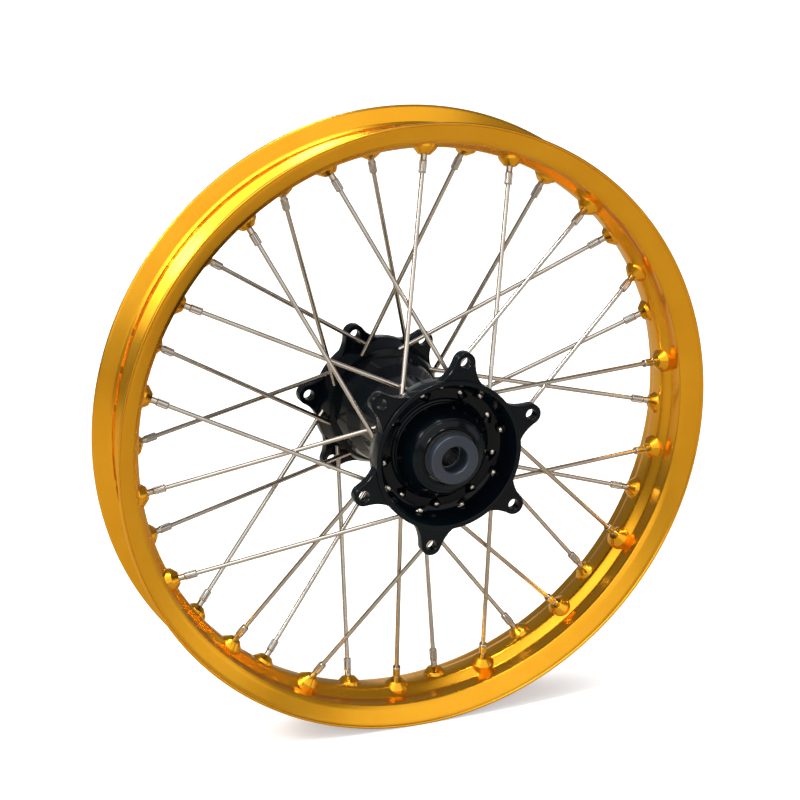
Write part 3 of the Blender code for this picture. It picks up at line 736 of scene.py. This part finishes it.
nipple = nipple_mesh()
row_meshes = {}
for line in spoke_lines:
    if line["row"] not in row_meshes:
        row_meshes[line["row"]] = spoke_mesh(line["row"], line["seat"])
    piece("wire_" + line["name"], row_meshes[line["row"]], stainless, "wheel",
          ("spoke_" + line["name"],), line["place"])
    piece("nipple_" + line["name"], nipple, nickel, "wheel", place=line["place"])
print(len(spoke_lines), "spokes and nipples")

# %% [markdown]
# ## The hub
# The hub is milled from one billet. Its body is turned: a deep dish inside each flange with a boss in
# the middle for the bearing, and a waist between. The lugs for the sprocket and the disc are cut from
# the flange's plate, a pocket is milled for every spoke head, and nine flats are milled round the bell
# on the disc's side. Body and plates are joined by a Boolean, then pockets and flats are cut.

# %% The hub's turned body
def hub_section():
    """The body's closed section: sprocket side, waist, disc side, then back through the bore."""
    f = SPROCKET_FACE * 1000
    near = [
        (21.3, f + 3.2, 0), (21.8, f + 3.7, 0.2), (23.2, f + 3.7, 0.5), (23.5, f + 3.0, 0.2),
        (27.6, f + 1.5, 1.0),
        (28.0, f + 1.0, 0.2), (29.4, f + 0.2, 1.0), (34.0, f - 7.6, 4.2),
        (36.1, f - 15.6, 0.3), (36.9, f - 16.0, 0.3), (37.5, f - 16.9, 0.3), (38.6, f - 17.4, 0.6),
        (40.2, f - 18.6, 1.2), (50.8, f - 17.4, 8.0), (55.3, f + 1.6, 0.4), (55.9, f + 2.0, 0.3),
        (58.6, f + 2.0, 0.4), (59.0, f + 1.6, 0.3), (59.0, f - 8.4, 0.4), (58.6, f - 8.8, 0.4),
        (56.4, f - 19.8, 2.0), (51.0, f - 23.2, 3.0), (43.0, f - 27.2, 4.0), (38.0, f - 35.6, 5.0),
        (35.0, 25.0, 8.0),
    ]
    g = DISC_FACE * 1000
    far = [
        (21.3, g + 10.5, 0), (21.8, g + 11.0, 0.2), (24.6, g + 11.0, 0.6), (28.0, g + 7.4, 1.6),
        (32.6, g - 13.2, 2.0), (35.6, g - 18.2, 1.5), (43.2, g - 16.8, 3.0), (46.6, g - 11.0, 1.5),
        (48.3, g + 1.6, 0.4), (48.7, g + 2.0, 0.3), (51.3, g + 2.0, 0.4), (51.7, g + 1.6, 0.3),
        (51.7, g - 7.4, 0.4), (51.3, g - 7.8, 0.5), (47.4, g - 19.2, 2.0), (43.4, g - 27.5, 4.0),
        (40.5, g - 44.0, 6.0),
    ]
    outside = near + [(35.0, -8.0, 8.0)] + [(r, -z, c) for r, z, c in reversed(far)]
    inside = [(21.3, -60.0, 0), (18.5, -59.0, 0), (18.5, -55.0, 0), (28.0, -46.0, 0), (28.0, 54.0, 0),
              (18.5, 63.0, 0), (18.5, 66.0, 0), (21.3, 67.0, 0)]
    return [mm(*p) for p in outside + inside]


HUB_RINGS = 216
hub_mesh = lathe("hub_billet", rounded(hub_section(), 6), even_angles(HUB_RINGS))
print("hub body:", len(hub_mesh.vertices), "points")


# %% Lug plates
def arc(centre, radius, start, end, steps):
    """Points along an arc, both ends included."""
    return [centre + polar(radius, start + (end - start) * i / steps) for i in range(steps + 1)]


def lug_outline(ring, bolts, tip, root_half, first_angle):
    """Six round-nosed lugs whose sides run into the ring with a hollow root."""
    points = []
    wrap, side_steps = 72, 7
    for lug in range(6):
        middle = first_angle + 60.0 * lug
        nose = polar(bolts, middle)
        left = polar(ring - 0.0006, middle - root_half)
        right = polar(ring - 0.0006, middle + root_half)
        start = nose + polar(tip, middle - wrap)
        end = nose + polar(tip, middle + wrap)
        hollow_left = polar(ring + 0.0024, middle - root_half * 0.50)
        hollow_right = polar(ring + 0.0024, middle + root_half * 0.50)
        for i in range(side_steps):
            t = i / side_steps
            points.append(left * (1 - t) ** 2 + hollow_left * 2 * t * (1 - t) + start * t * t)
        points += arc(nose, tip, middle - wrap, middle + wrap, 14)
        for i in range(1, side_steps + 1):
            t = i / side_steps
            points.append(end * (1 - t) ** 2 + hollow_right * 2 * t * (1 - t) + right * t * t)
        points += arc(Vector(), ring - 0.0006, middle + root_half + 2, middle + 60 - root_half - 2, 5)
    return points


def plate(name, outline, holes, low, high, chamfer):
    """A flat plate with round holes and a small chamfer on every edge."""
    curve = bpy.data.curves.new(name, "CURVE")
    curve.dimensions = "2D"
    curve.fill_mode = "BOTH"
    curve.extrude = (high - low) / 2 - chamfer
    curve.bevel_depth = chamfer
    curve.bevel_resolution = 3
    curve.offset = -chamfer
    loops = [outline] + [arc(Vector(h[:3]), h[3], 0, 350, 35) for h in holes]
    for loop in loops:
        spline = curve.splines.new("POLY")
        spline.points.add(len(loop) - 1)
        for vertex, at in zip(spline.points, loop):
            vertex.co = (at.x, at.y, 0.0, 1.0)
        spline.use_cyclic_u = True
    helper = bpy.data.objects.new(name, curve)
    bpy.context.scene.collection.objects.link(helper)
    bpy.context.view_layer.update()
    graph = bpy.context.evaluated_depsgraph_get()
    mesh = bpy.data.meshes.new_from_object(helper.evaluated_get(graph), depsgraph=graph)
    bpy.data.objects.remove(helper, do_unlink=True)
    mesh.transform(Matrix.Translation((0, 0, (low + high) / 2)))
    tidy_mesh(mesh, 1e-5)
    return mesh


def bolt_holes(bolts, first_angle):
    return [(*polar(bolts, first_angle + 60.0 * i), BOLT_HOLE) for i in range(6)]


SPROCKET_RING, DISC_RING = SPROCKET_BOLTS - 0.0130, DISC_BOLTS - 0.0080
SPROCKET_LUG_ANGLE, DISC_LUG_ANGLE = 79.0, 108.6
LUG_TIP, RING_OVERLAP = 0.0080, 0.0022
near_plate = plate(
    "sprocket_lugs", lug_outline(SPROCKET_RING, SPROCKET_BOLTS, LUG_TIP, 19.0, SPROCKET_LUG_ANGLE),
    bolt_holes(SPROCKET_BOLTS, SPROCKET_LUG_ANGLE) + [(0, 0, 0, SPROCKET_RING - RING_OVERLAP)],
    SPROCKET_FACE - LUG_THICKNESS, SPROCKET_FACE, 0.0008)
far_plate = plate(
    "disc_lugs", lug_outline(DISC_RING, DISC_BOLTS, LUG_TIP, 22.0, DISC_LUG_ANGLE),
    bolt_holes(DISC_BOLTS, DISC_LUG_ANGLE) + [(0, 0, 0, DISC_RING - RING_OVERLAP)],
    -DISC_FACE, -DISC_FACE + LUG_THICKNESS, 0.0007)
for mesh in (near_plate, far_plate):
    work = bmesh.new()
    work.from_mesh(mesh)
    print(mesh.name, "open edges:", sum(len(e.link_faces) != 2 for e in work.edges))
    work.free()


# %% Join the plates, cut the pockets and mill the flats
def pocket_mesh(row, seat):
    """The cutter for one spoke: a wide bore for its head, then a thin one for its wire."""
    wide, thin = 0.0035, 0.0022
    section = [(0.0, seat + 0.0080), (wide + 0.0004, seat + 0.0080), (wide, seat + 0.0030), (wide, seat),
               (thin, seat), (thin, seat - 0.0180), (0.0, seat - 0.0180)]
    return lathe("pocket_" + row, section, even_angles(20), closed=False)


steps = [(helper_object(near_plate), "UNION"), (helper_object(far_plate), "UNION")]
for row in ROWS:
    lines = [line for line in spoke_lines if line["row"] == row]
    pockets = copies(pocket_mesh(row, lines[0]["seat"]), [line["place"] for line in lines])
    steps.append((helper_object(pockets), "DIFFERENCE"))
flat = block("bell_flat", mm(20.0, 60.0, 25.0))
FLAT_ANGLE, FLAT_RADIUS, FLAT_HEIGHT, FLAT_TILT = 8.0, 0.0521, -0.0330, math.radians(13.0)
for k in range(9):
    place = on_rim(FLAT_RADIUS, FLAT_ANGLE + 40.0 * k, FLAT_HEIGHT, FLAT_TILT)
    steps.append((helper_object(copies(flat, [place], f"bell_flat_{k}")), "DIFFERENCE"))
hub_mesh = applied(helper_object(hub_mesh), steps)
hub = piece("hub_billet", hub_mesh, black, "wheel", ("hub",), sharp=19)
print("hub:", len(hub_mesh.vertices), "points")

# %% [markdown]
# ## Seals and spacers
# A rubber seal closes each end of the hub, and a stepped spacer passes through it. The spacer's collar
# is what stands out against the swing arm. Both are plain turned pieces, so the lathe helper makes
# them with their chamfers and grooves. The bearings, the distance tube and the circlip are hidden
# inside the hub, so they keep their CAD shape and only get a finish.

# %% Seals
def seal_section(top, sign):
    """A seal with a groove in its outer face and a lip that rubs on the spacer, sizes in mm."""
    lip, out, depth = 15.4, 20.9, 4.8
    points = [
        (out, 0.0, 0.2), (out, depth, 0.2), (20.4, depth, 0.1), (20.1, 4.3, 0.1), (19.6, 4.3, 0.1),
        (19.2, depth, 0.15), (17.6, depth, 0.2), (17.0, 4.0, 0.2), (16.2, 4.4, 0.2), (lip, 3.6, 0.2),
        (lip, 2.4, 0.2), (16.6, 0.0, 0.2),
    ]
    return [mm(r, (top - depth + z) * sign, c) for r, z, c in points]


for name, top, sign in (("sprocket", 87.4, 1), ("disc", 76.4, -1)):
    mesh = lathe(name + "_lip_seal", rounded(seal_section(top, sign), 2), even_angles(96))
    piece(name + "_lip_seal", mesh, rubber, "wheel", (name + "_seal",))


# %% Spacers
def spacer_section(end, collar, inner, sign):
    """A spacer whose thin neck goes through the seal and whose collar stays outside, sizes in mm."""
    out, neck, bore = 19.2, 14.7, 10.4
    points = [
        (bore, inner, 0), (neck, inner, 0.3), (neck, collar, 0.2), (out - 0.4, collar, 0.2),
        (out, collar + 0.5, 0.3), (out, end - 0.7, 0.4), (out - 0.7, end, 0.4), (bore + 0.8, end, 0.3),
        (bore, end - 0.8, 0.3),
    ]
    return [mm(r, z * sign, c) for r, z, c in points]


for name, end, collar, inner, sign in (
    ("sprocket", 96.6, 89.0, 80.5, 1), ("disc", 88.0, 78.0, 71.5, -1),
):
    section = rounded(spacer_section(end, collar, inner, sign), 3)
    mesh = lathe(name + "_collar", section, even_angles(120))
    piece(name + "_collar", mesh, spacer_grey, "axle_side", (name + "_spacer",))

# %% Finishes for the pieces that keep their CAD shape
kept_finishes = {
    "distance_tube": bare_aluminium, "circlip": race_steel,
    "sprocket_bearing_inner_ring": race_steel, "sprocket_bearing_outer_ring": race_steel,
    "disc_bearing_inner_ring": race_steel, "disc_bearing_outer_ring": race_steel,
    "sprocket_bearing_balls": cage_finish, "disc_bearing_balls": cage_finish,
}
for name, finish in kept_finishes.items():
    for slot in frame["nodes"][name].material_slots:
        slot.material = finish
print(len(kept_finishes), "CAD pieces keep their shape")
